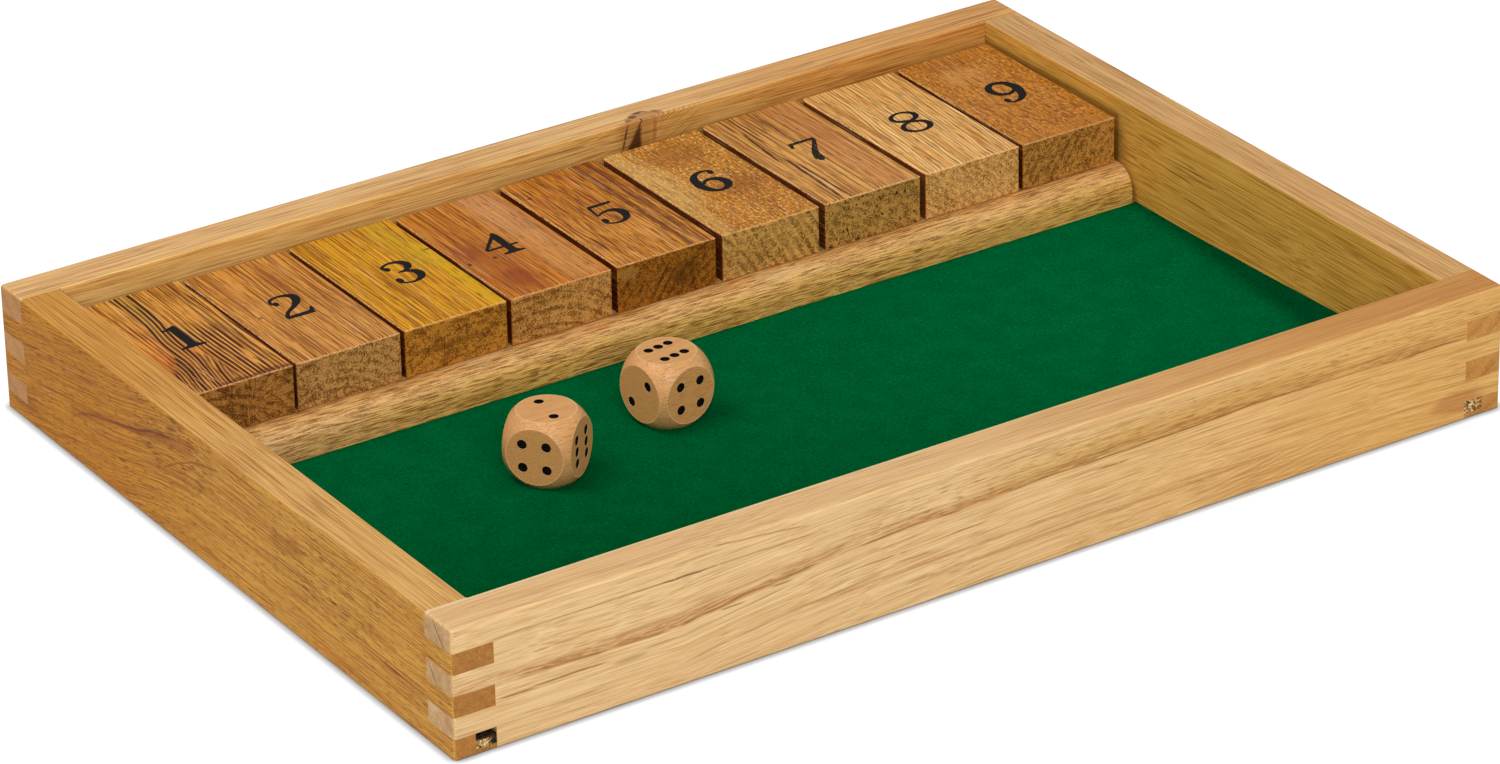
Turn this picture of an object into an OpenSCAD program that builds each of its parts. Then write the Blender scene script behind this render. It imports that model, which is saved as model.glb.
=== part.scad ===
// Shut the box: a shallow finger-jointed wooden tray with nine number tiles hinged
// on one steel rod, a green felt floor and two wooden dice.
// Millimetres. +X runs along the box, +Y back to the tiles, +Z up. The box stands on z = 0.

/* [Box] */
// Outside length of the box
box_l = 340; // [325:1:380]
// Outside depth of the box, front to back
box_d = 243; // [230:1:270]
// Outside height of the box
box_h = 38; // [36:0.5:44]
// Thickness of the four boards
board_t = 12.6; // [11:0.1:14]
// Rounding of the box's upright corners and outside top edges
edge_r = 1.2; // [0.6:0.1:3]
// Rounding along the box's outside bottom edges
foot_r = 0.6; // [0.3:0.1:1.4]
// Rounding along the boards' inside top edges
lip_r = 0.5; // [0.3:0.1:1.6]

/* [Finger joints] */
// Height of the lowest finger
low_finger = 5.4; // [5:0.1:5.8]
// Height of each of the four fingers above it
finger_h = 6.2; // [5.6:0.1:6.8]
// How much higher the fingers stand at the front left corner
finger_rise = 0.8; // [0:0.1:1]

/* [Floor] */
// Height of the groove that holds the bottom panel
groove_h = 4; // [3:0.1:4.2]
// Depth of that groove into the boards
groove_depth = 6.3; // [5:0.1:7.5]
// Gap between the bottom panel's edge and the bottom of the groove
panel_gap = 0.3; // [0.1:0.1:0.6]
// Thickness of the felt
felt_t = 2; // [1:0.1:3]
// How far the filler stands back from the box's face
filler_back = 0.3; // [0.1:0.1:1]
// How much of the open groove end at the front left corner is filled, as a share of its height
filler_part = 0.6; // [0.3:0.05:0.8]

/* [Tiles] */
// Play between the tiles, added up across the whole row
row_play = 16; // [12:0.5:22]
// Length of a tile, front to back
tile_l = 64.5; // [55:0.1:72]
// Thickness of a tile
tile_t = 14.8; // [12:0.1:15.5]
// Rounding along a tile's edges
tile_r = 0.7; // [0.3:0.1:1.2]
// Rounding of a tile's two upright corners at the hinge end
tile_back_r = 2; // [1:0.1:3]
// How far the tiles' tops lie below the box's top edge
tile_sink = 5; // [4:0.1:7]
// Gap between the tiles' back ends and the back board
tile_back = 5.5; // [5:0.1:8]

/* [Hinge rod] */
// Diameter of the rod the tiles turn on
rod_d = 4; // [3:0.1:5]
// Distance from the rod's middle to the tiles' back ends
rod_inset = 10; // [8.5:0.5:12]
// Running clearance around the rod in each tile, on the radius
rod_play = 0.06; // [0.02:0.01:0.1]
// Length of rod held in each side board
rod_seat = 6; // [4:0.5:8]
// Room left past each end of the rod in its blind hole
rod_slack = 0.5; // [0.2:0.1:1]

/* [Divider] */
// Width of the strip the tiles' front ends rest on
divider_w = 12.6; // [11:0.1:15]
// How much of the strip is under the tiles
divider_under = 5.5; // [3:0.1:7]
// Radius of the strip's rounded front edge
divider_r = 7; // [4:0.5:8]
// Gap between the strip's right end and the side board
divider_gap = 1.4; // [0.4:0.1:3]

/* [Dice] */
// Size of a die across its flats
die_size = 20; // [16:0.5:22]
// Radius of the ball that rounds a die, as a share of its size
die_ball = 0.655; // [0.62:0.005:0.75]
// Diameter of a pip
pip_d = 2.8; // [2:0.1:3.2]
// Depth of a pip
pip_depth = 0.9; // [0.4:0.1:1.4]
// Distance from a face's middle to its outer pips, along each edge
pip_step = 3.5; // [3:0.1:4]
// First die's place along the box
die_a_x = -75; // [-130:1:-72]
// First die's place from front to back
die_a_y = -14; // [-80:1:5]
// First die's turn
die_a_turn = 37.5; // [-45:0.5:45]
// Second die's place along the box
die_b_x = -29.5; // [-32:0.5:120]
// Second die's place from front to back
die_b_y = -3.5; // [-80:0.1:5]
// Second die's turn
die_b_turn = 7.7; // [-45:0.1:45]

/* [Hidden] */
$fn = 64;
over = 1;                       // how far a cutter runs past the face it cuts
half_l = box_l / 2;
half_d = box_d / 2;
in_l = box_l - 2 * board_t;     // clear length inside the boards
in_d = box_d - 2 * board_t;     // clear depth inside the boards
finger_tops = [for (k = [0:4]) low_finger + k * finger_h];
panel_top = low_finger;         // the groove's top meets the lowest finger's top
panel_z = low_finger - groove_h;
felt_top = panel_top + felt_t;
tile_top = box_h - tile_sink;
tile_z = tile_top - tile_t;
tile_back_y = in_d / 2 - tile_back;
tile_front_y = tile_back_y - tile_l;
tile_count = 9;
tile_w = (in_l - row_play) / tile_count;
// shares of the play: left of the first tile, between neighbours, right of the last
play_parts = [11, 8, 12, 13, 18, 21, 20, 18, 13, 26];
// how far each tile's sawn hinge end runs past the common length
end_over = [0.5, -0.4, 0.4, -0.4, -0.1, -0.1, 1, 0.3, 1];
function sum_to(list, n) = n == 0 ? 0 : list[n - 1] + sum_to(list, n - 1);
play_unit = row_play / sum_to(play_parts, len(play_parts));
function tile_x(i) = -in_l / 2 + (i - 1) * tile_w + play_unit * sum_to(play_parts, i);
rod_y = tile_back_y - rod_inset;
rod_z = tile_z + tile_t / 2;
panel_l = in_l + 2 * (groove_depth - panel_gap);
panel_d = in_d + 2 * (groove_depth - panel_gap);
divider_back_y = tile_front_y + divider_under;
divider_front_y = divider_back_y - divider_w;

board_wood = [0.80, 0.60, 0.38];
side_wood = [0.72, 0.52, 0.30];
tile_wood = [0.78, 0.54, 0.28];
die_wood = [0.85, 0.68, 0.48];
felt_green = [0.02, 0.32, 0.16];
putty = [0.86, 0.78, 0.62];
steel = [0.70, 0.70, 0.72];

// Cuts a rounding along X on the edge that faces (sy, sz) and passes through (y, z).
module round_x(x0, x1, y, z, r, sy, sz)
  translate([x0, y - sy * r, z - sz * r])
    difference() {
      translate([0, sy < 0 ? -r - over : 0, sz < 0 ? -r - over : 0])
        cube([x1 - x0, r + over, r + over]);
      translate([-over, 0, 0]) rotate([0, 90, 0]) cylinder(h = x1 - x0 + 2 * over, r = r);
    }

// The same along Y, on the edge that faces (sx, sz).
module round_y(y0, y1, x, z, r, sx, sz)
  translate([x - sx * r, y0, z - sz * r])
    difference() {
      translate([sx < 0 ? -r - over : 0, 0, sz < 0 ? -r - over : 0])
        cube([r + over, y1 - y0, r + over]);
      translate([0, -over, 0]) rotate([-90, 0, 0]) cylinder(h = y1 - y0 + 2 * over, r = r);
    }

// The same along Z, on the edge that faces (sx, sy).
module round_z(z0, z1, x, y, r, sx, sy)
  translate([x - sx * r, y - sy * r, z0])
    difference() {
      translate([sx < 0 ? -r - over : 0, sy < 0 ? -r - over : 0, 0])
        cube([r + over, r + over, z1 - z0]);
      translate([0, 0, -over]) cylinder(h = z1 - z0 + 2 * over, r = r);
    }

// Edges of the finished box that belong to its front (s = -1) or back (s = 1).
module long_rounds(s) {
  round_x(-half_l - over, half_l + over, s * half_d, box_h, edge_r, s, 1);
  round_x(-half_l - over, half_l + over, s * half_d, 0, foot_r, s, -1);
  round_x(-in_l / 2, in_l / 2, s * in_d / 2, box_h, lip_r, -s, 1);
}

// Edges of the finished box that belong to its left (s = -1) or right (s = 1) side.
module short_rounds(s) {
  round_y(-half_d - over, half_d + over, s * half_l, box_h, edge_r, s, 1);
  round_y(-half_d - over, half_d + over, s * half_l, 0, foot_r, s, -1);
  round_y(-in_d / 2, in_d / 2, s * in_l / 2, box_h, lip_r, -s, 1);
}

// One upright corner of the finished box, and the ball corner where it meets the top.
module corner_rounds(sx, sy) {
  round_z(-over, box_h + over, sx * half_l, sy * half_d, edge_r, sx, sy);
  translate([sx * (half_l - edge_r), sy * (half_d - edge_r), box_h - edge_r])
    difference() {
      translate([sx < 0 ? -edge_r - over : 0, sy < 0 ? -edge_r - over : 0, 0])
        cube(edge_r + over);
      sphere(r = edge_r);
    }
}

// The corner column between finger heights: slot k, counted from 0 at the bottom.
module corner_slot(sx, sy, k) {
  rise = sx < 0 && sy < 0 ? finger_rise : 0;
  z0 = k == 0 ? -over : finger_tops[k - 1] + rise;
  z1 = k == 5 ? box_h + over : finger_tops[k] + rise;
  translate([sx < 0 ? -half_l - over : in_l / 2, sy < 0 ? -half_d - over : in_d / 2, z0])
    cube([board_t + over, board_t + over, z1 - z0]);
}

// The front and back boards keep slots 1, 3 and 5, the side boards slots 0, 2 and 4.
module long_board(s)
  difference() {
    translate([-half_l, s < 0 ? -half_d : in_d / 2, 0]) cube([box_l, board_t, box_h]);
    for (sx = [-1, 1]) {
      for (k = [0, 2, 4]) corner_slot(sx, s, k);
      corner_rounds(sx, s);
      short_rounds(sx);
    }
    long_rounds(s);
    translate([-in_l / 2 - over, s < 0 ? -in_d / 2 - groove_depth : in_d / 2 - over, panel_z])
      cube([in_l + 2 * over, groove_depth + over, groove_h]);
  }

module short_board(s)
  difference() {
    translate([s < 0 ? -half_l : in_l / 2, -half_d, 0]) cube([board_t, box_d, box_h]);
    for (sy = [-1, 1]) {
      for (k = [1, 3, 5]) corner_slot(s, sy, k);
      corner_rounds(s, sy);
      long_rounds(sy);
    }
    short_rounds(s);
    // the groove runs right through, so it opens at both ends of the lowest finger
    translate([s < 0 ? -in_l / 2 - groove_depth : in_l / 2 - over, -half_d - over, panel_z])
      cube([groove_depth + over, box_d + 2 * over, groove_h]);
    translate([s < 0 ? -in_l / 2 - rod_seat - rod_slack : in_l / 2 - over, rod_y, rod_z])
      rotate([0, 90, 0]) cylinder(h = rod_seat + rod_slack + over, r = rod_d / 2);
  }

module front_board() color(board_wood) long_board(-1);
module back_board() color(board_wood) long_board(1);
// The groove's front end is cut up to the top of the raised lowest finger.
module left_board()
  color(side_wood)
    difference() {
      short_board(-1);
      translate([-in_l / 2 - groove_depth, -half_d - over, panel_z])
        cube([groove_depth + over, board_t + over, groove_h + finger_rise]);
    }

module right_board() color(side_wood) short_board(1);

module bottom_panel()
  color(side_wood)
    translate([-panel_l / 2, -panel_d / 2, panel_z]) cube([panel_l, panel_d, groove_h]);

// Putty that closes the open end of a side board's groove.
module filler(sx, sy, share = 1)
  color(putty)
    translate([sx < 0 ? -in_l / 2 - groove_depth : in_l / 2,
               sy < 0 ? -half_d + filler_back : panel_d / 2, panel_z])
      cube([groove_depth, half_d - filler_back - panel_d / 2, share * groove_h]);

module filler_front_left() filler(-1, -1, filler_part * (1 + finger_rise / groove_h));
module filler_front_right() filler(1, -1);
module filler_back_left() filler(-1, 1);
module filler_back_right() filler(1, 1);

module felt_mat()
  color(felt_green)
    translate([-in_l / 2, -in_d / 2, panel_top])
      cube([in_l, divider_front_y + in_d / 2, felt_t]);

module divider_strip()
  color(board_wood)
    difference() {
      translate([-in_l / 2, divider_front_y, panel_top])
        cube([in_l - divider_gap, divider_w, tile_z - panel_top]);
      round_x(-half_l, half_l, divider_front_y, tile_z, divider_r, -1, 1);
    }

module hinge_rod()
  color(steel)
    translate([-in_l / 2 - rod_seat, rod_y, rod_z])
      rotate([0, 90, 0]) cylinder(h = in_l + 2 * rod_seat, r = rod_d / 2);

// Tile i, counted from 1 at the left: a sawn block with eased edges, bored for the rod.
module tile(i) {
  x0 = tile_x(i);
  x1 = x0 + tile_w;
  y1 = tile_back_y + end_over[i - 1];
  color(tile_wood)
    difference() {
      translate([x0, tile_front_y, tile_z]) cube([tile_w, y1 - tile_front_y, tile_t]);
      for (sz = [-1, 1]) {
        z = sz < 0 ? tile_z : tile_top;
        round_x(x0 - over, x1 + over, tile_front_y, z, tile_r, -1, sz);
        round_x(x0 - over, x1 + over, y1, z, tile_r, 1, sz);
        round_y(tile_front_y - over, y1 + over, x0, z, tile_r, -1, sz);
        round_y(tile_front_y - over, y1 + over, x1, z, tile_r, 1, sz);
      }
      for (sx = [-1, 1]) {
        x = sx < 0 ? x0 : x1;
        round_z(tile_z - over, tile_top + over, x, tile_front_y, tile_r, sx, -1);
        round_z(tile_z - over, tile_top + over, x, y1, tile_back_r, sx, 1);
      }
      translate([x0 - over, rod_y, rod_z]) rotate([0, 90, 0])
        cylinder(h = tile_w + 2 * over, r = rod_d / 2 + rod_play);
    }
}

module tile_1() tile(1);
module tile_2() tile(2);
module tile_3() tile(3);
module tile_4() tile(4);
module tile_5() tile(5);
module tile_6() tile(6);
module tile_7() tile(7);
module tile_8() tile(8);
module tile_9() tile(9);

// Pip places on a face, in steps from its middle.
pip_spots = [[[0, 0]],
    [[-1, -1], [1, 1]],
    [[-1, -1], [0, 0], [1, 1]],
    [[-1, -1], [1, -1], [1, 1], [-1, 1]],
    [[-1, -1], [1, -1], [0, 0], [1, 1], [-1, 1]],
    [[-1, -1], [0, -1], [1, -1], [-1, 1], [0, 1], [1, 1]]];

// Drilled pits for one face, cut into the face that looks up.
module pips(count, turn)
  rotate([0, 0, turn])
    for (p = pip_spots[count - 1])
      translate([p.x * pip_step, p.y * pip_step, die_size / 2 - pip_depth])
        cylinder(h = pip_depth + over, r = pip_d / 2);

// A cube cut from a ball, so its faces are round. Opposite faces add up to seven.
// top, front and left say how many pips those faces have before the die is turned.
module die(x, y, turn, top, front, left, top_turn, left_turn)
  color(die_wood)
    translate([x, y, felt_top + die_size / 2])
      rotate([0, 0, turn])
        difference() {
          intersection() {
            cube(die_size, center = true);
            sphere(r = die_ball * die_size);
          }
          pips(top, top_turn);
          rotate([180, 0, 0]) pips(7 - top, 0);
          rotate([90, 0, 0]) pips(front, 90);
          rotate([-90, 0, 0]) pips(7 - front, 0);
          rotate([0, -90, 0]) pips(left, left_turn);
          rotate([0, 90, 0]) pips(7 - left, 0);
        }

module die_left() die(die_a_x, die_a_y, die_a_turn, 2, 6, 4, 0, 0);
module die_right() die(die_b_x, die_b_y, die_b_turn, 6, 4, 2, 0, 90);

front_board();
back_board();
left_board();
right_board();
bottom_panel();
filler_front_left();
filler_front_right();
filler_back_left();
filler_back_right();
felt_mat();
divider_strip();
hinge_rod();
tile_1();
tile_2();
tile_3();
tile_4();
tile_5();
tile_6();
tile_7();
tile_8();
tile_9();
die_left();
die_right();
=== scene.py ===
# %% [markdown]
# # Shut the box
# A flat wooden tray with finger-jointed corners, nine numbered tiles that flip over on one
# steel rod, a green felt floor and two wooden dice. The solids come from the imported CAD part
# and are never moved: this file gives them their wood, ink, felt and putty, and builds the few
# surfaces that a plain solid can't show. Everything is in metres, in the part's own frame:
# +X runs along the tray, +Y back to the tiles, +Z up.

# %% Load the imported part
from math import pi, radians

import bpy
import numpy as np
from mathutils import Matrix, Vector


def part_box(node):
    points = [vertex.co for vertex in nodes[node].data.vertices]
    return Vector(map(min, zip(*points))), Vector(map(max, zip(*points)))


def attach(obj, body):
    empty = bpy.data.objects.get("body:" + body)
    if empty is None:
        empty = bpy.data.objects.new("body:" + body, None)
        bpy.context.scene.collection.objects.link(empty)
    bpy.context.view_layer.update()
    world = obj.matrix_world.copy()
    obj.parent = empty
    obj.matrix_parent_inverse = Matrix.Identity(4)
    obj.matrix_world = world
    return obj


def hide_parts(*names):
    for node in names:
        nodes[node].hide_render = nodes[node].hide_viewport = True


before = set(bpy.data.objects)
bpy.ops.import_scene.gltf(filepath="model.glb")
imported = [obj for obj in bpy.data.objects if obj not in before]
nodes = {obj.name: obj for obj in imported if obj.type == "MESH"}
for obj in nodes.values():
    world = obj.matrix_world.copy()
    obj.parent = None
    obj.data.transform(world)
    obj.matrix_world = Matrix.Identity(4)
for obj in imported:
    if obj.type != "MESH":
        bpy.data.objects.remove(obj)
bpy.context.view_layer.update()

MM = 0.001
scene = bpy.context.scene

# %% [markdown]
# ## The camera
# The tray is seen from its front left corner and from a little above, through a long lens, so
# the far edges shrink only slightly. A camera is a place and a turn: here the turn is built
# from an azimuth round the tray, a height above the horizon and a small tilt of the frame,
# which reads more easily than a matrix of numbers.

# %% Camera
IMAGE_W = 1500
CAMERA_PLACE = Vector((-0.8907, -1.3753, 0.8419))
CAMERA_AZIMUTH = radians(-32.93)
CAMERA_HEIGHT = radians(26.985)
CAMERA_TILT = radians(-1.115)
SENSOR_W = 36.0
FOCAL_PIXELS = 6577.8

camera = bpy.data.objects.new("camera", bpy.data.cameras.new("camera"))
camera.data.sensor_width = SENSOR_W
camera.data.lens = FOCAL_PIXELS * SENSOR_W / IMAGE_W
turn = (Matrix.Rotation(CAMERA_AZIMUTH, 4, "Z") @ Matrix.Rotation(pi / 2 - CAMERA_HEIGHT, 4, "X")
        @ Matrix.Rotation(CAMERA_TILT, 4, "Z"))
camera.matrix_world = Matrix.Translation(CAMERA_PLACE) @ turn
scene.collection.objects.link(camera)
scene.camera = camera
scene.view_settings.view_transform = "Standard"
print("lens %.1f mm" % camera.data.lens)

# %% [markdown]
# ## Materials as arithmetic
# Wood is a solid: its rings, fibres and pores run through the whole board and come out on
# every face, long on the sides and as arcs and dots on the ends. So each wood here is worked
# out in three dimensions from the place of a point in the part, and not painted on with a
# picture. The two small classes below keep that readable: a Field is a number that is known
# at every point of a surface, and adding or multiplying Fields adds the matching nodes.

# %% Colours
WARM_WHITE = (1.0, 0.83, 0.54, 1.0)


def linear(code):
    """The linear colour of an sRGB code such as "c89a5b": ((c + 0.055) / 1.055) to the 2.4."""
    c = np.array([int(code[i:i + 2], 16) / 255 for i in (0, 2, 4)])
    low = c / 12.92
    high = ((c + 0.055) / 1.055) ** 2.4
    return (*np.where(c > 0.04045, high, low).tolist(), 1.0)


def lighter(code, share=0.35):
    """The colour of a code moved a share of the way to a warm white."""
    c = np.array(linear(code))
    return (c + share * (np.array(WARM_WHITE) - c)).tolist()


print("the brown c89a5b is", [round(c, 3) for c in linear("c89a5b")])


# %% Fields
class Field:
    """A number at each point of a surface. Arithmetic on it adds Math nodes to its finish."""

    def __init__(self, finish, socket):
        self.finish = finish
        self.socket = socket

    def math(self, operation, *others, clamp=False):
        """One Math node with this number as its first input and the others after it."""
        node = self.finish.node("ShaderNodeMath", operation=operation, use_clamp=clamp)
        for place, value in enumerate((self, *others)):
            self.finish.feed(node.inputs[place], value)
        return Field(self.finish, node.outputs[0])

    def __add__(self, other): return self.math("ADD", other)
    def __sub__(self, other): return self.math("SUBTRACT", other)
    def __mul__(self, other): return self.math("MULTIPLY", other)
    def __truediv__(self, other): return self.math("DIVIDE", other)
    def __rsub__(self, other): return (self * -1.0) + other

    def size(self): return self.math("ABSOLUTE")
    def clip(self): return self.math("ADD", 0.0, clamp=True)

    def rise(self, low, high):
        """0 below low, 1 above high and a smooth step between them; low may be the larger."""
        node = self.finish.node("ShaderNodeMapRange", interpolation_type="SMOOTHSTEP")
        flipped = low > high
        ends = (high, low, 1.0, 0.0) if flipped else (low, high, 0.0, 1.0)
        for place, value in enumerate((self, *ends)):
            self.finish.feed(node.inputs[place], value)
        return Field(self.finish, node.outputs[0])

    def between(self, start, full, last, stop):
        """1 from full to last, 0 before start and after stop, and smooth steps between them."""
        return self.rise(start, full) * self.rise(stop, last)


# %% Finishes
class Finish:
    """A material in the making, with the surface point's place in millimetres as x, y and z."""

    def __init__(self, name, seed=0.0):
        self.material = bpy.data.materials.new(name)
        self.material.use_nodes = True
        self.tree = self.material.node_tree
        self.shader = self.tree.nodes["Principled BSDF"]
        self.seed = seed
        self.colour = None
        coordinates = self.node("ShaderNodeTexCoord")
        in_mm = self.node("ShaderNodeVectorMath", operation="SCALE")
        self.tree.links.new(coordinates.outputs["Object"], in_mm.inputs[0])
        in_mm.inputs["Scale"].default_value = 1 / MM
        self.x, self.y, self.z = self.parts(in_mm.outputs[0])
        facing = self.parts(coordinates.outputs["Normal"])
        self.facing = [f.size() for f in facing]

    def node(self, kind, **settings):
        """Adds a node of a kind, with settings, to the finish."""
        node = self.tree.nodes.new(kind)
        for name, value in settings.items():
            setattr(node, name, value)
        return node

    def feed(self, socket, value):
        """Links a Field or another socket to this socket, or writes a plain value on it."""
        if isinstance(value, Field):
            value = value.socket
        if isinstance(value, bpy.types.NodeSocket):
            self.tree.links.new(value, socket)
        else:
            socket.default_value = value

    def parts(self, vector):
        """The x, y and z of a vector, as three Fields."""
        split = self.node("ShaderNodeSeparateXYZ")
        self.tree.links.new(vector, split.inputs[0])
        return [Field(self, out) for out in split.outputs]

    def noise(self, u, v, w, detail=2.0, rough=0.5, shift=0.0):
        """Smooth noise from 0 to 1 about 0.5; one unit of u, v or w is about one lump."""
        join = self.node("ShaderNodeCombineXYZ")
        for socket, value in zip(join.inputs, (u, v + (self.seed * 17.3 + shift), w)):
            self.feed(socket, value)
        texture = self.node("ShaderNodeTexNoise")
        self.feed(texture.inputs["Vector"], join.outputs[0])
        texture.inputs["Scale"].default_value = 1.0
        texture.inputs["Detail"].default_value = detail
        texture.inputs["Roughness"].default_value = rough
        return Field(self, texture.outputs["Fac"])

    def chance(self, field):
        """One random number from 0 to 1 for each whole value of the field."""
        texture = self.node("ShaderNodeTexWhiteNoise", noise_dimensions="1D")
        self.feed(texture.inputs["W"], field)
        return Field(self, texture.outputs["Value"])

    def over(self, under, colour, amount, blend="MIX"):
        """The colour laid over what is under it: all of it where amount is 1, none where 0.
        Sockets 6 and 7 are the Mix node's two colours, and output 2 is their mix."""
        mix = self.node("ShaderNodeMix", data_type="RGBA", blend_type=blend, clamp_factor=True)
        self.feed(mix.inputs[0], amount)
        self.feed(mix.inputs[6], under)
        self.feed(mix.inputs[7], colour)
        return mix.outputs[2]

    def blend(self, pale, deep, amount):
        """Sets the finish's colour to the pale code where amount is 0 and the deep one at 1."""
        self.colour = self.over(linear(pale), linear(deep), amount)

    def lay(self, tone, amount):
        """Lays a tone, a code or a linear colour, over the finish's colour where amount is 1."""
        tone = linear(tone) if isinstance(tone, str) else tone
        self.colour = self.over(self.colour, tone, amount)

    def tint(self, share, amount):
        """Multiplies the finish's colour by a share of red, green and blue where amount is 1."""
        self.colour = self.over(self.colour, (*share, 1.0), amount, "MULTIPLY")

    def done(self, height=None, depth=0.02, rough=0.5, specular=0.35):
        """Joins colour, roughness and a bump whose full height is depth, in millimetres."""
        self.feed(self.shader.inputs["Base Color"], self.colour)
        self.feed(self.shader.inputs["Roughness"], rough)
        self.shader.inputs["Specular IOR Level"].default_value = specular
        if height is not None:
            bump = self.node("ShaderNodeBump")
            bump.inputs["Distance"].default_value = depth * MM
            self.feed(bump.inputs["Height"], height)
            self.feed(self.shader.inputs["Normal"], bump.outputs[0])
        return self.material


def dress(node, material):
    """Gives a CAD node's object this material in every slot."""
    mesh = nodes[node].data
    mesh.materials.clear()
    mesh.materials.append(material)
    print(node, "wears", material.name, "of", len(material.node_tree.nodes), "nodes")


# %% [markdown]
# ## Solid wood
# A tree lays down one ring a year round its pith: pale and open in spring, dense and dark at
# the end of summer. A board is cut out of that cylinder, so the recipe keeps the same order.
# It takes the distance from a pith that lies along the board, bends it a little with slow
# noise, and cuts it into rings that darken to their outer side and then start pale again.
# Fibres are noise drawn out along the grain, pores are its rare high spots, and the ends soak
# up more oil and go darker. Where the top meets a side, the rounded edge is laid paler in
# specks: partly sanding wear and partly a painted highlight, on upward edges only.

# %% Wood recipe
def wood(name, grain, pale, deep, pith, ring=4.0, seed=0.0, wave=1.5, late=0.5, base=0.36,
         fine=1.0, fine_size=1.0, fine_run=1.0, fibre=0.5, lines=0.5, line_gap=1.0, line_run=1.0,
         blotch=0.3, pores=0.4, pore_size=1.0, pore_run=1.0, clusters=0.0, pore_tone="5a3214",
         flecks=0.3, fleck_run=1.0, ends=None, end_speckle=1.0, end_rings=0.4, end_pores=0.4,
         end_marks=None, edge_wear_and_highlight=0.3, bend=None, marks=None, cover=None, rough=0.48,
         specular=0.3):
    """Rings about a pith, fibres along the grain and pores; tone 0 is pale and 1 is deep.
    ends holds the pale and the deep colour of the sawn ends; cover is laid on last of all."""
    f = Finish(name, seed)
    along, a, b = (f.x, f.y, f.z) if grain == "x" else (f.y, f.x, f.z)
    end = f.facing[0 if grain == "x" else 1].rise(0.55, 0.9)
    if bend:
        b = b + bend(f)
    drift = f.noise(along * 0.012, a * 0.03, b * 0.03, detail=1)
    sway = f.noise(along * 0.03, a * 0.06, b * 0.06, detail=1, shift=40)
    aw = a + (drift - 0.5) * (wave * 3) + (sway - 0.5) * wave
    bw = b + (drift - 0.5) * wave
    ea, eb = aw - pith[0], bw - pith[1]
    turns = (ea * ea + eb * eb).math("SQRT") / ring
    turns = turns + (f.noise(along * 0.01, aw * 0.08, bw * 0.08, shift=80) - 0.5) * 1.2
    year = turns.math("FRACT")
    vigour = f.chance(turns.math("FLOOR")) * 0.6 + 0.5
    rings = year.between(0.35, 0.92, 0.95, 1.0) * vigour
    fibres = f.noise(along * 0.025, aw * 0.45, bw * 0.45, detail=2, rough=0.6, shift=120)
    hair, run = 1.7 / fine_size, 0.13 / (fine_size * fine_run)
    hairs = f.noise(along * run, aw * hair, bw * hair, detail=2, rough=0.7, shift=140)
    gap = 0.5 / line_gap
    seams = f.noise(along * (0.011 / line_run), aw * gap, bw * gap, detail=2, rough=0.6, shift=160)
    broken = f.noise(along * (0.05 / line_run), aw * 0.7, bw * 0.7, shift=180).rise(0.38, 0.56)
    seams = (seams - 0.5).size().rise(0.04, 0.008) * broken
    cloud = f.noise(along * 0.02, aw * 0.09, bw * 0.09, detail=3, shift=200)
    tone = (rings * late + (fibres - 0.5) * (2.0 * fibre) + (hairs - 0.5) * (3.0 * fine)
            + seams * lines + (cloud - 0.5) * (2 * blotch) + (base - 0.3 * late))
    thin = 1.7 / pore_size
    holes = f.noise(along * 0.16 / (pore_size * pore_run), aw * thin, bw * thin,
                    detail=0, shift=240)
    crowd = f.noise(along * 0.035, aw * 0.11, bw * 0.11, detail=2, shift=260).rise(0.5, 0.62)
    holes = holes.rise(0.62, 0.72) * (crowd * clusters + (1 - clusters))
    glints = f.noise(along * 0.2 / fleck_run, aw * 1.9, bw * 1.9, detail=1, shift=280)
    f.blend(pale, deep, tone.clip())
    if marks:
        marks(f)
    f.lay(pore_tone, holes * pores)
    f.lay(lighter(pale), glints.rise(0.62, 0.74) * flecks)
    side = f.colour
    grit = f.noise(f.x * 2.1, f.y * 2.1, f.z * 2.1, detail=2, rough=0.75, shift=300)
    mealy = f.noise(f.x * 0.5, f.y * 0.5, f.z * 0.5, detail=3, rough=0.6, shift=320)
    end_pale, end_deep = ends or (pale, deep)
    cut = (grit - 0.5) * (2.4 * end_speckle) + (mealy - 0.5) * (1.5 * end_speckle)
    cut = cut + rings * end_rings + (cloud - 0.5) + (0.44 - 0.3 * end_rings)
    f.blend(end_pale, end_deep, cut.clip())
    if end_marks:
        end_marks(f)
    f.lay(pore_tone, grit.rise(0.63, 0.7) * end_pores)
    f.colour = f.over(side, f.colour, end * 0.92)
    # Wear and painted highlight: upward rounded edges are laid paler, in specks.
    flat = f.facing[0].math("MAXIMUM", f.facing[1]).math("MAXIMUM", f.facing[2])
    upper = f.facing[2].rise(0.15, 0.4)
    edge = flat.rise(0.95, 0.8) * upper * grit.rise(0.42, 0.62)
    f.lay(lighter(pale), edge * edge_wear_and_highlight)
    if cover:
        cover(f)
    height = hairs * 0.5 + seams * -0.2 - holes * 0.9 + ((grit + mealy) * end) * 0.5
    return f.done(height, 0.08, rough, specular)


# %% [markdown]
# ## Marks in the wood
# Real boards have things that no average recipe gives: a cluster of dark mineral lines, a
# crack, a reddish patch, a knot. Each is laid over the wood as a mask between 0 and 1. A mask
# is drawn over two lengths in millimetres, one across the grain and one along it, and its
# edges wander like the grain.

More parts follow.
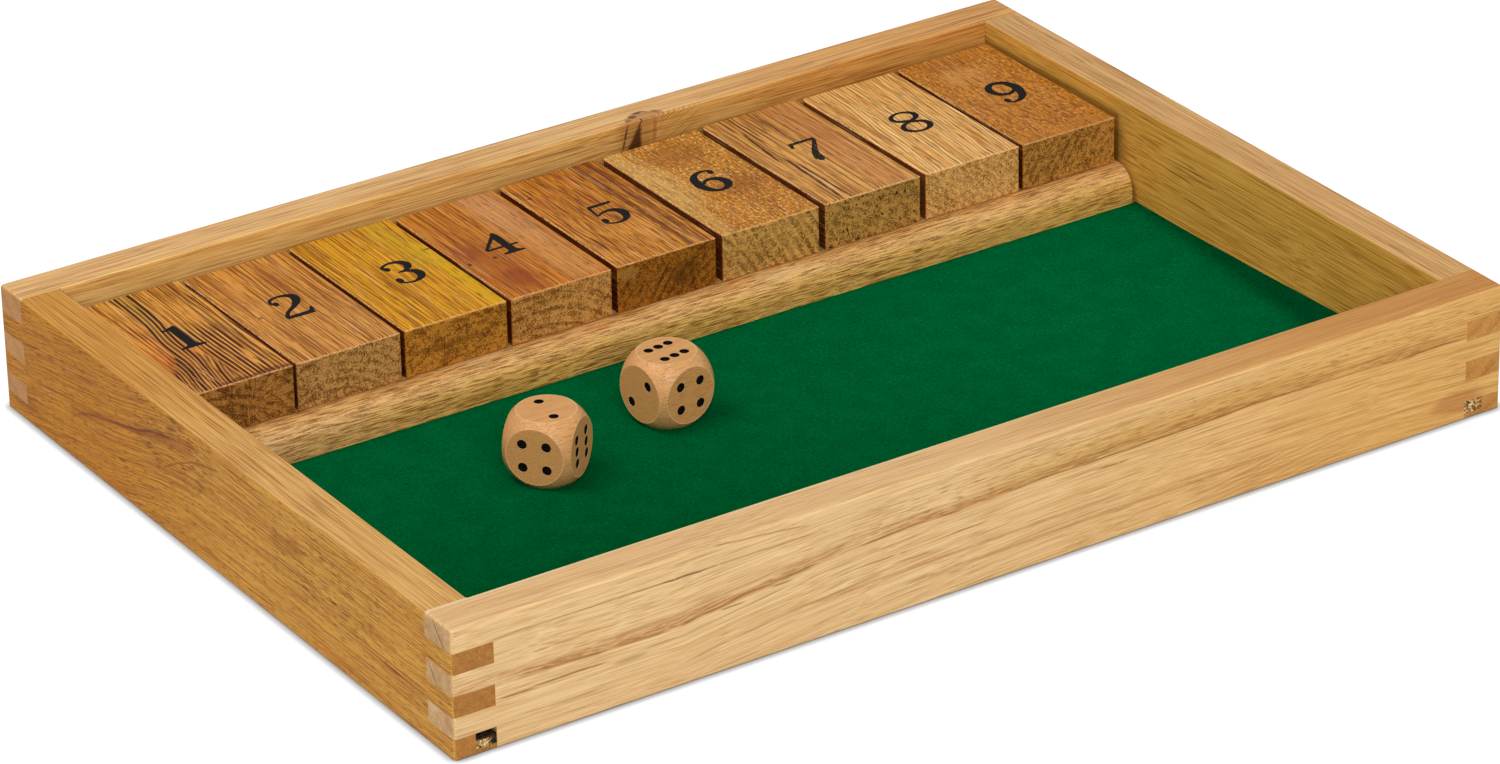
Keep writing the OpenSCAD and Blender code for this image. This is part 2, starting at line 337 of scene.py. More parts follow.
# %% Masks for marks
def streak(f, across, along, start, stop, width, ragged=0.5):
    """1 on a line from start to stop, given as (across, along), 0 beyond half its width."""
    (u0, v0), (u1, v1) = start, stop
    slope = (u1 - u0) / (v1 - v0)
    low, high = min(v0, v1), max(v0, v1)
    limp = ragged * min(2.5, 0.5 + width)
    wander = (f.noise(along * 0.15, 0.0, 0.0, shift=u0 * 3.1) - 0.5) * limp
    off = (across - (along - v0) * slope - u0 + wander).size()
    fade = min(2.5, (high - low) / 4)
    reach = along.between(low - fade, low + fade, high - fade, high + fade)
    if ragged:
        reach = reach * f.noise(along * 0.4, across * 0.9, 0.0, shift=u1 * 2.3).rise(0.2, 0.45)
    return off.rise(width * 0.62, width * 0.2) * reach


def patch(f, across, along, centre, radii, soft=0.35):
    """1 inside an oval with ragged edges, falling to 0 over a share of its radius."""
    du = (across - centre[0]) / radii[0]
    dv = (along - centre[1]) / radii[1]
    torn = (f.noise(across * 0.35, along * 0.12, 0.0, detail=3, shift=centre[0]) - 0.5) * 0.8
    return ((du * du + dv * dv).math("SQRT") + torn).rise(1.0 + soft, 1.0 - soft)


def streaks(tone, *lines, ragged=0.5):
    """Items for streaks of one tone. A line is its strength and width, and then its place
    across and along at the start and at the end."""
    return [(streak, tone, line[0], line[2:4], line[4:], line[1], ragged) for line in lines]


def comb(f, across, along, gap, wander=0.6, shift=0.0, thick=0.3):
    """Crisp lines a gap apart: each has its own strength, and all wander and fade together."""
    sway = (f.noise(along * 0.04, across * 0.12, 0.0, detail=2, shift=shift) - 0.5) * (wander * 4)
    lane = (across + sway) / gap
    own = f.chance(lane.math("FLOOR") + shift) * 0.6 + 0.4
    crest = (lane.math("FRACT") - 0.5).size().rise(thick, thick * 0.35)
    fade = f.noise(along * 0.05, lane * 0.8, 0.0, detail=1, shift=shift + 7).rise(0.28, 0.46)
    return crest * own * fade


def flecked(f, across, along, size, low, high, run=5.0, shift=0.0):
    """Short dashes along the grain, each about a size wide and run times as long."""
    return f.noise(along / (size * run), across / size, 0.0, detail=1, shift=shift).rise(low, high)


def lay_marks(f, across, along, items, only=1.0):
    """Lays items over the finish. An item is a mask, a colour, a strength and the rest of what
    the mask takes; only is a mask that all of them are kept inside."""
    for mask, tone, strength, *shape in items:
        f.lay(tone, mask(f, across, along, *shape) * only * strength)


# %% [markdown]
# ## The tray's boards
# The front board is pale honey with one long brown flame, the left board is amber with short
# dark dashes, and the felt side of the right board is olive. On the front board the flame
# bows, because the saw ran a little across the rings: bending the height before the rings are
# cut does the same.

# %% Bowed grain, and the front board's marks by height and x
def front_bend(f):
    """Lifts the pattern by the square of the distance from a point right of the middle, fully
    at the foot of the board and hardly at all at its top edge."""
    s = ((f.x - 75.0) / 54.0).math("MAXIMUM", -3.25)
    return s * s * (f.z.rise(46.0, 4.0) * 0.9 + 0.1)


FRONT_MARKS = [
    *streaks("9a6224", (0.55, 0.6, 31.6, -158, 31.6, -60)),
    *streaks("6e3e12", (0.7, 0.7, 31.6, -106, 31.5, -94)),
    *streaks("a86c2e", (0.6, 0.7, 37.6, -92, 34.7, -62)),
    *streaks("7c4a1a", (0.7, 0.7, 13.8, -156, 13.8, -146), (0.7, 0.6, 14.3, -146, 14.3, -125),
             (0.7, 0.6, 18.2, -89, 18.4, -82), (0.6, 0.6, 20.0, -73, 20.1, -67),
             (0.7, 0.6, 26.0, 24, 26.1, 31), (0.7, 0.6, 22.4, 32, 22.6, 41)),
    *streaks("8c5822", (0.6, 0.5, 17.0, -46, 17.2, -30), (0.6, 0.5, 14.6, -34, 14.8, -23),
             (0.6, 0.5, 17.9, -16, 18.1, -5)),
    *streaks("b8804a", (0.5, 1.2, 11.0, -60, 13.0, 40), (0.45, 1.4, 7.5, -30, 9.5, 90)),
    (patch, "8c5a28", 0.4, (12.8, -117), (0.6, 5.0)),
    (patch, "b2703a", 0.55, (6.0, 155), (3.2, 9.0)),
]
print("marks on the front board:", len(FRONT_MARKS))


# %% Front board
def front_flame(f):
    """A broad flame along the bowed grain, crisp below and torn above, with fine dashes; and a
    painted highlight along the inner top edge.
    """
    face = f.facing[1].rise(0.6, 0.95)
    level = f.z + front_bend(f) + (f.noise(f.x * 0.03, 0.0, f.z * 0.15) - 0.5) * 2.4
    torn = f.noise(f.x * 0.045, 0.0, level * 0.5, detail=3, shift=11)
    band = level.between(25.6, 26.2, 26.6, 30.0) * torn.rise(0.34, 0.6)
    f.lay("c08040", band * face * 0.4)
    inside = flecked(f, level, f.x, 0.42, 0.46, 0.56, run=12.0, shift=21)
    f.lay("9c6426", inside * band * face * 0.6)
    for place, weight in ((26.1, 0.75), (28.4, 0.4), (23.4, 0.35), (17.0, 0.4), (10.5, 0.35)):
        line = (level + (f.noise(f.x * 0.02, 0.0, place) - 0.5) * 1.6 - place).size()
        gaps = f.noise(f.x * 0.05, place, 0.0, detail=2, shift=17).rise(0.4, 0.56)
        f.lay("94602a", line.rise(0.4, 0.1) * gaps * face * weight)
    above = level.between(25.0, 28.0, 32.0, 38.0) * f.x.rise(-80.0, -30.0)
    dashes = flecked(f, level, f.x, 0.45, 0.56, 0.66, run=12.0, shift=23)
    f.lay("a5702c", dashes * above * face * 0.6)
    haze = level.between(25.0, 27.5, 29.0, 36.0) * f.x.between(-20.0, 20.0, 90.0, 130.0)
    f.tint((0.9, 0.86, 0.66), haze * face)
    corner = f.x.between(55.0, 75.0, 105.0, 125.0) * f.z.rise(13.0, 8.0)
    slant = comb(f, f.z - f.x * 0.15, f.x, 1.5, wander=0.5, shift=29)
    f.lay("b47c40", slant * corner * face * 0.55)
    lay_marks(f, f.z, f.x, FRONT_MARKS, face)
    f.tint((0.96, 0.82, 0.5), f.x.rise(-40.0, 160.0))
    top = f.facing[2].rise(0.6, 0.95)
    f.tint((0.94, 0.88, 0.86), top)
    f.tint((0.84, 0.72, 0.6), top * f.x.rise(-30.0, 140.0))
    # Painted highlight: a pale line along the inner top edge, over the felt.
    lip_highlight = f.y.rise(-110.3, -109.8) * f.z.rise(36.6, 37.4) * f.x.rise(150.0, -100.0)
    f.lay("ecd0a0", lip_highlight * 0.6)
    # Painted shade inside the groove at the front left corner.
    painted_groove_shade(f)


def painted_groove_shade(f):
    """Painted shade: the inside of the groove, where it comes out at the front left corner, is
    laid dark.
    """
    inside = f.x.between(-164.6, -164.2, -157.3, -156.9) * f.z.between(1.0, 1.4, 6.3, 6.6)
    f.lay("1c0e04", inside * f.y.between(-121.4, -121.1, -114.0, -112.0))


def torn_fingers(f):
    """The end grain at the left: pale, with slanted dark lines and torn fibres."""
    fibres = comb(f, f.y * 0.9 + f.z * 0.45, f.z, 0.9, wander=1.0, shift=131, thick=0.34)
    torn = f.noise(f.y * 0.35, f.z * 0.35, 0.0, detail=3, shift=133)
    f.lay("e9cf9c", fibres * torn.rise(0.5, 0.62) * 0.55)
    f.lay("a07848", torn.rise(0.46, 0.36) * 0.35)
    edge = f.z.between(26.0, 28.6, 29.4, 30.2)
    f.lay("f0dcae", edge * fibres * 0.8)
    lay_marks(f, f.y, f.z, [
        *streaks("6a4018", (0.9, 0.8, -118.0, 31.5, -113.0, 37.6),
                 (0.85, 0.8, -114.4, 18, -110.2, 24), ragged=0.1),
        (patch, "2c1808", 0.9, (-119.6, 26.4), (0.6, 0.9)),
        (patch, "e6cc98", 0.5, (-112, 12.5), (3.0, 2.4))])


dress("front_board", wood("front_wood", "x", "eecb95", "c8934f", (40, -60), ring=6, seed=1,
      wave=1.2, late=0.05, base=0.3, fine=0.8, fine_size=0.5, fine_run=14, fibre=0.02, lines=0.25,
      line_gap=0.5, line_run=2.2, blotch=0.05, pores=0.4, pore_size=0.6, pore_run=4, clusters=0.5,
      pore_tone="a9713a", flecks=0.12, fleck_run=4, ends=("d5ab74", "ab7c48"), end_speckle=0.8,
      end_rings=0.2, end_pores=0.2, end_marks=torn_fingers, edge_wear_and_highlight=0.2, bend=front_bend,
      marks=front_flame))


# %% [markdown]
# ### The back board
# The back board had a branch near its middle: a knot on the top edge, and under it, on the
# inner face, a split and grain that sweeps past at a slant. One knot isn't worth a general
# recipe, so it is drawn in place: an oval for the knot, a wedge between two slanted lines for
# the split, and a comb of tilted lines for the feathered grain.

# %% Back board
def back_knot(f):
    """A brown knot on the top edge, a dark split that widens down the inner face under it, and
    feathered grain to its right."""
    inner = f.y.rise(110.3, 109.7)
    top = 1 - inner
    torn = f.noise(f.x * 0.5, f.y * 0.5, f.z * 0.3, detail=3) - 0.5
    dx, dy = (f.x - 36.5) / 6.3, (f.y - 109.3) / 5.0
    r = (dx * dx + dy * dy).math("SQRT") + torn * 0.5
    grain = f.noise(f.x * 1.2 + f.y * 0.8, f.y * 0.3, 0.0, detail=3, shift=31).rise(0.4, 0.62)
    f.lay("b47a48", r.rise(1.1, 0.9) * top * 0.7)
    f.lay("7c4a26", (r - 0.9).size().rise(0.28, 0.05) * top * grain * 0.8)
    lay_marks(f, f.x, f.y, [
        (patch, "5a3016", 0.7, (33.4, 112.2), (1.3, 1.2)),
        (patch, "5a3016", 0.7, (36.0, 113.8), (1.3, 0.7))], top)
    sweep = f.z - (f.x - 42.0) * 0.56
    feather = comb(f, sweep, f.x, 0.9, wander=0.5, shift=33, thick=0.36)
    near = f.x.between(38.0, 42.0, 50.0, 60.0)
    f.lay("e8b468", near * inner * 0.3)
    f.lay("8a5424", feather * near * inner * 0.7)
    f.lay("a4662a", f.x.between(25.0, 29.0, 36.0, 41.0) * inner * 0.5)
    lean = f.x - (f.z - 36.5) * 0.62 + torn
    wedge = lean.rise(32.6, 34.4) * (f.x + torn).rise(35.0, 33.6) * f.z.rise(37.2, 35.8)
    f.lay("3c1c08", wedge * inner * 0.9)
    lay_marks(f, f.x, f.z, [
        *streaks("2c1608", (0.9, 0.7, 33.4, 36.0, 35.2, 38.6), ragged=0.1),
        *streaks("3a1e0a", (0.85, 0.8, 27.8, 30.0, 29.8, 37.4), ragged=0.3),
        *streaks("a8602c", (0.6, 1.6, 38.8, 30.0, 39.2, 38.0), ragged=0.3)], inner)
    f.tint((0.92, 0.79, 0.62), f.x.rise(30.0, 120.0))
    f.tint((1.1, 1.08, 0.82), inner)
    f.tint((0.9, 0.84, 0.76), inner * f.x.rise(-60.0, 60.0))


dress("back_board", wood("back_wood", "x", "ebbe80", "c18647", (170, -30), ring=6, seed=2,
      wave=1.0, late=0.1, base=0.3, fine=1.4, fine_size=0.7, fine_run=8, fibre=0.06, lines=0.35,
      line_gap=0.7, line_run=2.0, blotch=0.1, pores=0.35, pore_run=2.5, clusters=0.6, flecks=0.15,
      fleck_run=3, ends=("c98e4b", "a76e34"), end_speckle=0.7, edge_wear_and_highlight=0.2, marks=back_knot))


# %% [markdown]
# ### The left board
# The left board is the deepest in colour, amber in front and browner to the rear, where its
# grain tips downwards. Its dark dashes come in two clusters. Single long dashes are listed one
# by one, and the crowd of short ones comes from noise that is kept inside a soft window.

# %% Marks on the left board, by height and y
LEFT_MARKS = [
    *streaks("8a480c", (0.85, 0.9, 13.0, -97, 13.2, -87)),
    *streaks("a05c14", (0.6, 0.8, 31.0, -75, 31.0, -65)),
    *streaks("a06018", (0.7, 0.7, 36.0, -76, 33.5, -58), (0.6, 0.7, 33.5, -58, 34.0, -50)),
    *streaks("a45c18", (0.5, 5.0, 32.0, 12, 25.0, 46), (0.4, 4.0, 25.0, 46, 15.0, 82)),
    *streaks("7c3808", (0.85, 1.2, 31.0, 23, 29.0, 33), (0.85, 1.2, 29.0, 33, 26.0, 41),
             (0.8, 1.0, 25.8, 41, 23.5, 50)),
    *streaks("8c440e", (0.75, 0.9, 23.4, 50, 21.0, 60), (0.7, 0.8, 21.0, 60, 18.0, 72),
             (0.6, 0.8, 18.0, 72, 14.0, 81)),
    *streaks("944c10", (0.65, 0.8, 32.0, -2, 29.0, 11), (0.65, 0.8, 29.0, 11, 25.0, 20),
             (0.55, 0.8, 25.0, 20, 20.0, 29)),
    *streaks("84400a", (0.7, 1.0, 34.5, 20, 33.5, 26)),
    *streaks("74340a", (0.7, 0.9, 12.0, 51, 11.6, 55), (0.7, 0.9, 26.5, 100, 24.5, 109)),
    (patch, "b06c20", 0.5, (26.5, -42), (3.0, 4.5)),
    (patch, "b06c20", 0.5, (24.5, -35), (2.4, 5.0)),
    (patch, "8a5018", 0.45, (6.5, 111), (3.0, 7.0)),
    (patch, "c8741c", 0.45, (2.6, -60), (1.6, 11.0)),
]
print("marks on the left board:", len(LEFT_MARKS))


# %% Left board
def level_top(f):
    """Takes the height out of the pattern on an upward face, so that the grain runs straight
    along a sloping top edge."""
    return f.z * f.facing[2].rise(0.4, 0.8) * -1.0


def left_tip(f):
    """Tips the pattern downwards over the rear half of the side."""
    return level_top(f) + f.y.rise(-10.0, 60.0) * (f.y * 0.16) * f.facing[2].rise(0.8, 0.4)


def left_amber(f):
    """The outer face is deeper than the top, most of all at the rear, and carries dark dashes
    in two clusters."""
    side = f.facing[0].rise(0.6, 0.95)
    level = f.z + left_tip(f)
    front = f.y.between(-92.0, -70.0, -40.0, -24.0) * f.z.between(12.0, 17.0, 29.0, 34.0)
    rear = f.y.between(-4.0, 8.0, 36.0, 52.0) * f.z.rise(17.0, 22.0)
    dashes = flecked(f, level, f.y, 0.55, 0.53, 0.6, run=9.0, shift=43)
    busy = f.noise(f.y * 0.09, level * 0.25, 0.0, detail=2, shift=47).rise(0.42, 0.56)
    f.lay("84440c", dashes * busy * front.math("MAXIMUM", rear) * side * 0.8)
    lay_marks(f, f.z, f.y, LEFT_MARKS, side)
    short = flecked(f, level, f.y, 0.42, 0.57, 0.64, run=9.0, shift=45)
    f.lay("8a4a0e", short * side * 0.6)
    f.tint((0.89, 0.86, 0.44), side)
    f.tint((0.87, 0.71, 0.16), side * f.y.rise(-30.0, 70.0))
    f.tint((0.94, 1.04, 1.27), 1 - side)
    f.tint((0.91, 0.76, 0.45), (1 - side) * f.y.rise(-30.0, 70.0))
    # Painted shade inside the groove at the front left corner.
    painted_groove_shade(f)


dress("left_board", wood("left_wood", "y", "e4ac5c", "b4702c", (-120, 70), ring=7, seed=3,
      wave=0.6, late=0.05, base=0.28, fine=1.6, fine_size=0.65, fine_run=7, fibre=0.06, lines=0.3,
      line_gap=0.6, line_run=2.0, blotch=0.08, pores=0.4, pore_size=0.7, pore_run=4, clusters=0.5,
      pore_tone="8a4c12", flecks=0.2, fleck_run=3, ends=("b87d3d", "965f25"), end_speckle=0.9,
      end_rings=0.2, end_pores=0.3, edge_wear_and_highlight=0.2, bend=left_tip, marks=left_amber,
      specular=0.14))


# %% [markdown]
# ### The right board, the floor panel and the divider
# The right board is olive on its inner face, over the felt, and carries painted shade there
# beside the last tile. The panel shows only from below and in the gaps between the tiles, so
# it gets a plain board's finish. The divider is a low strip between the felt and the tiles,
# full of short dashes, because it was sawn at a slant through the fibres.

# %% Right board, floor panel and divider
def right_olive_and_shade(f):
    """The face over the felt is olive, and painted darker in a strip beside the last tile: painted
    shade where that tile keeps the light off it."""
    inner = f.facing[0].rise(0.6, 0.95) * f.x.rise(164.0, 161.0)
    f.tint((1.02, 0.98, 0.58), inner)
    f.tint((0.95, 0.97, 1.24), 1 - inner)
    # Painted shade on the inner face, in the strip beside the last tile.
    f.tint((0.55, 0.45, 0.38), inner * f.y.rise(40.0, 41.5) * f.z.rise(33.5, 31.5))


dress("right_board", wood("right_wood", "y", "e4b065", "b47d35", (120, 90), ring=5, seed=4,
      wave=1.0, late=0.1, base=0.3, fine=1.4, fine_size=0.7, fine_run=7, fibre=0.06, lines=0.35,
      line_gap=0.7, line_run=1.6, blotch=0.1, pores=0.5, pore_size=1.0, pore_run=2.5, clusters=0.7,
      pore_tone="7c541c", flecks=0.12, fleck_run=3, ends=("d09344", "ac6e24"), end_speckle=0.9,
      edge_wear_and_highlight=0.2, bend=level_top, marks=right_olive_and_shade))
dress("bottom_panel", wood("panel_wood", "x", "d8b078", "b5834c", (0, -80), ring=5, seed=5))


def divider_zones(f):
    """Olive on the low front of the strip, pinkish in places on top, with many short dashes."""
    low = f.facing[1].rise(0.45, 0.9)
    pink = f.noise(f.x * 0.02, 0.0, 0.0, detail=2, shift=51).rise(0.5, 0.62)
    f.tint((1.0, 0.9, 0.86), pink * (1 - low))
    f.tint((1.0, 0.95, 0.84), 1 - low)
    f.tint((0.98, 0.98, 0.66), low * f.x.rise(-140.0, -60.0))
    bare = f.noise(f.x * 0.05, f.y * 0.2, f.z * 0.2, detail=2, shift=53).rise(0.52, 0.66)
    f.lay("f0cd92", bare * (1 - low) * 0.4)
    dashes = flecked(f, f.y + f.z, f.x, 0.42, 0.58, 0.68, run=3.5, shift=57)
    busy = f.noise(f.x * 0.03, f.y * 0.1, 0.0, detail=2, shift=59).rise(0.46, 0.58)
    f.lay("6e4316", dashes * busy * 0.5)


dress("divider_strip", wood("divider_wood", "x", "ecb976", "9d682a", (60, 40), ring=3.5, seed=6,
      wave=0.8, late=0.1, fine=2.0, fine_size=0.45, fine_run=2, fibre=0.05, lines=0.2, blotch=0.3,
      pores=0.7, pore_size=0.8, pore_run=1.2, clusters=0.3, pore_tone="6e3e14", flecks=0.4,
      fleck_run=2, marks=divider_zones))

# %% [markdown]
# ## The tiles
# The nine tiles are sawn from several boards. Some are plain, some show what the sawyer did
# not mind: dark mineral lines in the first, a red patch in the fourth, cracks in the seventh.
# Their long sides are laid dark as painted shade, so the gaps between them look dark.

# %% Tile marks
REAR_FADE = (56.0, 92.0)
# Painted shade laid on the tiles' long sides.
PAINTED_GAP_SHADE = (0.24, 0.13, 0.09)


def tile_marks(items, rear, extra):
    """The marks of one tile, placed by x and y in the tray, under painted shade on its long sides.
    extra makes the marks that no list holds; rear is what the rear half is multiplied by."""
    def lay(f):
        if extra:
            extra(f)
        lay_marks(f, f.x, f.y, items)
        f.tint(rear, f.y.rise(*REAR_FADE))
        # Painted shade: the long sides are laid dark, for the shade in the gaps between tiles.
        f.tint(PAINTED_GAP_SHADE, f.facing[0].rise(0.75, 0.95))

    return lay


# %% The first tile's mineral lines
def fan_lines(f):
    """Two bundles of dark mineral lines: the left one leans and fans out to the front, the
    right one shows only over the front half."""
    v = f.y
    middle = v.rise(36.0, 60.0) * 3.0 + v.rise(66.0, 92.0) * 2.4 - 147.4
    half = v.rise(64.0, 50.0) * 5.0 + v.rise(88.0, 104.0) * 0.8 + 2.6
    offset = f.x - middle
    left = (offset / half).size().rise(1.25, 0.85)
    squeeze = v.rise(64.0, 46.0) * 0.25 + 1.0
    crisp = comb(f, offset * squeeze, v, 1.35, wander=0.45, shift=61, thick=0.52)
    hem = f.x.between(-139.5, -137.0, -124.5, -122.5) * v.rise(84.0, 66.0)
    right = comb(f, f.x + v * 0.02, v, 1.4, wander=0.3, shift=67, thick=0.48)
    tail = comb(f, f.x, v, 1.6, wander=0.25, shift=71) * f.x.between(-130.0, -128.4, -126.0, -124.5)
    fan = v.rise(62.0, 50.0) * f.x.between(-155.0, -150.0, -140.0, -136.0)
    f.lay("9a4a0c", fan * 0.7)
    f.lay("f0a848", left * (1 - crisp) * 0.75)
    f.lay("4a1a03", crisp * left * 1.7)
    f.lay("f4ac48", hem * (1 - right) * 0.85)
    f.lay("521e04", right * hem * 1.6)
    f.lay("5a2404", tail * 1.2)
    front = (v - 39.6 + (f.noise(f.x * 0.2, 0.0, 0.0, shift=3) - 0.5) * 4).size().rise(2.0, 0.6)
    f.lay("5e2c0c", front * f.x.rise(-147.0, -144.0) * 0.7)


# %% Stripes and flecks
def wavy_stripes(f):
    """Pale and brown stripes that lean to the left as they come forward."""
    lean = f.x - (f.y - 70.0) * 0.09
    pale_lines = comb(f, lean, f.y, 1.2, wander=0.9, shift=73, thick=0.4)
    dark_lines = comb(f, lean + 0.6, f.y, 2.1, wander=0.9, shift=79, thick=0.28)
    f.lay("ffdc94", pale_lines * 0.75)
    f.lay("905a1c", dark_lines * 0.45)


def mottled(*kinds):
    """Small flecks with hardly any direction. Each kind is a tone and a strength, how fine it
    is across and along, where its flecks begin and end in the noise, and its own shift."""
    def lay(f):
        for tone, strength, across, along, low, high, shift in kinds:
            lumps = f.noise(f.x * across, f.y * along, f.z, detail=2, shift=shift)
            f.lay(tone, lumps.rise(low, high) * strength)

    return lay


# %% [markdown]
# ### The sawn ends
# A sawn end shows the rings as arcs and the fibres as dots, and no two ends are alike. Each
# helper below makes one kind of end: rays, dotted arcs, single cracks, rows of dashes, or
# dots in crowds. They take x and height, which is how the end is seen from the front.

# %% Marks on the sawn tile ends
def rays(f):
    """Fine rays that fan out of one point, as wood opens round a branch."""
    dx, dz = f.x + 137.0, f.z - 24.0
    angle = dx.math("ARCTAN2", dz)
    ray = f.noise(angle * 9.0, (dx * dx + dz * dz).math("SQRT") * 0.15, 0.0, detail=2, shift=103)
    f.lay("4e2a0c", ray.rise(0.52, 0.62) * 0.5)
    f.lay("b98a50", ray.rise(0.44, 0.34) * 0.35)


def arcs(centre, radii, tone, weight=0.6):
    """Dotted arcs round a pith under the tile."""
    def lay(f):
        dx, dz = f.x - centre[0], f.z - centre[1]
        wobble = (f.noise(f.x * 0.12, f.z * 0.12, 0.0, shift=107) - 0.5) * 2.0
        r = (dx * dx + dz * dz).math("SQRT") + wobble
        dots = f.noise(f.x * 1.1, f.z * 1.1, 0.0, detail=1, shift=109).rise(0.42, 0.52)
        for radius in radii:
            f.lay(tone, (r - radius).size().rise(0.7, 0.2) * dots * weight)

    return lay


def end_items(*items):
    """Cracks and dots on a tile's sawn end, placed by x and height."""
    def lay(f):
        lay_marks(f, f.x, f.z, items)

    return lay


def rows_of_dashes(gap, tone, weight):
    """Rows of short dark dashes that lean to the right as they go down."""
    def lay(f):
        row = comb(f, f.x + f.z * 0.6, f.z - f.x * 0.5, gap, wander=0.25, shift=113, thick=0.36)
        dots = f.noise(f.x * 0.9, f.z * 2.0, 0.0, detail=1, shift=127).rise(0.44, 0.52)
        f.lay(tone, row * dots * weight)

    return lay


def worm_dots(f):
    """Dark dots and short slanted dashes, crowded in places."""
    crowd = f.noise(f.x * 0.12, f.z * 0.2, 0.0, detail=1, shift=137).rise(0.4, 0.56)
    dots = f.noise(f.x * 0.9 + f.z * 0.25, f.z * 0.55, 0.0, detail=1, shift=139).rise(0.58, 0.66)
    f.lay("1e1004", dots * crowd * 0.95)


# %% Marks listed tile by tile
CRACK = "431a0c"
TILE_MARKS = {
    2: [*streaks("935020", (0.55, 3.2, -116, 103, -116.3, 74),
                 (0.55, 3.6, -101.5, 102, -101.5, 72)),
        *streaks("94541f", (0.4, 4, -113, 60, -112, 40)),
        *streaks("7c4218", (0.7, 0.8, -98.5, 52, -98.6, 40)),
        (patch, "7a2c10", 0.9, (-116.3, 69.1), (0.5, 0.6))],
    3: [*streaks("d6a200", (0.8, 6, -57.0, 84, -57.0, 36), ragged=0.2),
        *streaks("c29a18", (0.5, 9, -62.0, 106, -60.5, 70), ragged=0.2),
        *streaks("6a3a10", (0.85, 0.7, -57.3, 104, -58.4, 87)),
        (patch, "6a3a10", 0.8, (-55.6, 80.2), (1.6, 0.5)),
        *streaks("7c4a12", (0.7, 0.6, -79, 60, -79.2, 40), (0.7, 0.5, -78, 58, -78, 40),
                 (0.6, 0.5, -75, 62, -75, 40)),
        *streaks("8c5014", (0.6, 3.0, -82, 104, -82.5, 90)),
        *streaks("9a5a18", (0.5, 1.4, -87.6, 104, -87.8, 40))],
    4: [(patch, "9a4c18", 0.55, (-45, 58), (8, 20)),
        (patch, "8c3e12", 0.6, (-44, 50), (4, 6)),
        (patch, "8c4016", 0.55, (-49, 71), (3, 5)),
        *streaks("dca060", (0.4, 14, -28, 104, -27, 40), ragged=0.2),
        (patch, "4c260c", 0.95, (-51.4, 64.2), (0.7, 0.8)),
        (patch, "4c260c", 0.9, (-43.2, 64.2), (0.7, 0.8))],
    5: [*streaks("5e2c0c", (0.75, 2.2, 6.8, 106, 6.9, 38)),
        *streaks("6a340f", (0.7, 2.6, 10.6, 106, 10.6, 38)),
        *streaks("d8924a", (0.5, 4.0, 0.5, 61, 0.5, 47)),
        *streaks("4a220a", (0.8, 0.7, -14.5, 60, -14.4, 48), (0.8, 0.7, -9, 49, -9, 44)),
        *streaks("6a3814", (0.7, 0.5, -16.5, 66, -16.4, 40), (0.7, 0.5, -12.5, 64, -12.2, 42)),
        (patch, "4a220a", 0.8, (-15.0, 91.3), (1.0, 0.5))],
    6: [(patch, "e2b868", 0.35, (19.5, 70), (3.0, 40)),
        (patch, "deb264", 0.3, (24, 75), (4, 18)),
        (patch, "925014", 0.55, (35, 92), (10, 8)),
        (patch, "925014", 0.5, (39, 65), (9, 6))],
    7: [*streaks("c47a48", (0.5, 12, 77, 104, 77, 40), ragged=0.2),
        *streaks(CRACK, (0.9, 0.7, 58, 105, 58, 95), (0.95, 0.7, 61.2, 105, 61.0, 84),
                 (0.9, 0.6, 62.5, 105, 62.3, 88), (0.95, 1.0, 59.2, 93, 57.5, 71),
                 (0.9, 0.6, 69.3, 104, 68.8, 79), (0.8, 0.5, 66.6, 100, 66.5, 90),
                 (0.95, 1.1, 59.8, 71, 59.4, 55), (0.95, 1.2, 59.4, 55, 58.8, 41)),
        *streaks("f0c898", (0.6, 0.5, 60.2, 62, 60.0, 41)),
        *streaks(CRACK, (0.9, 0.9, 61.2, 66, 61.2, 50), (0.9, 0.9, 61.2, 50, 61.5, 38)),
        *streaks("5c2c14", (0.7, 0.5, 67.5, 63, 67.4, 46))],
    8: [*streaks("a86c2a", (0.65, 2.6, 91, 97, 91, 60))],
    9: [(patch, "8a4c14", 0.35, (135, 98), (9, 5)),
        (patch, "d89a56", 0.3, (135, 88), (7, 7))],
}
print("marks on the tiles:", sum(len(items) for items in TILE_MARKS.values()))

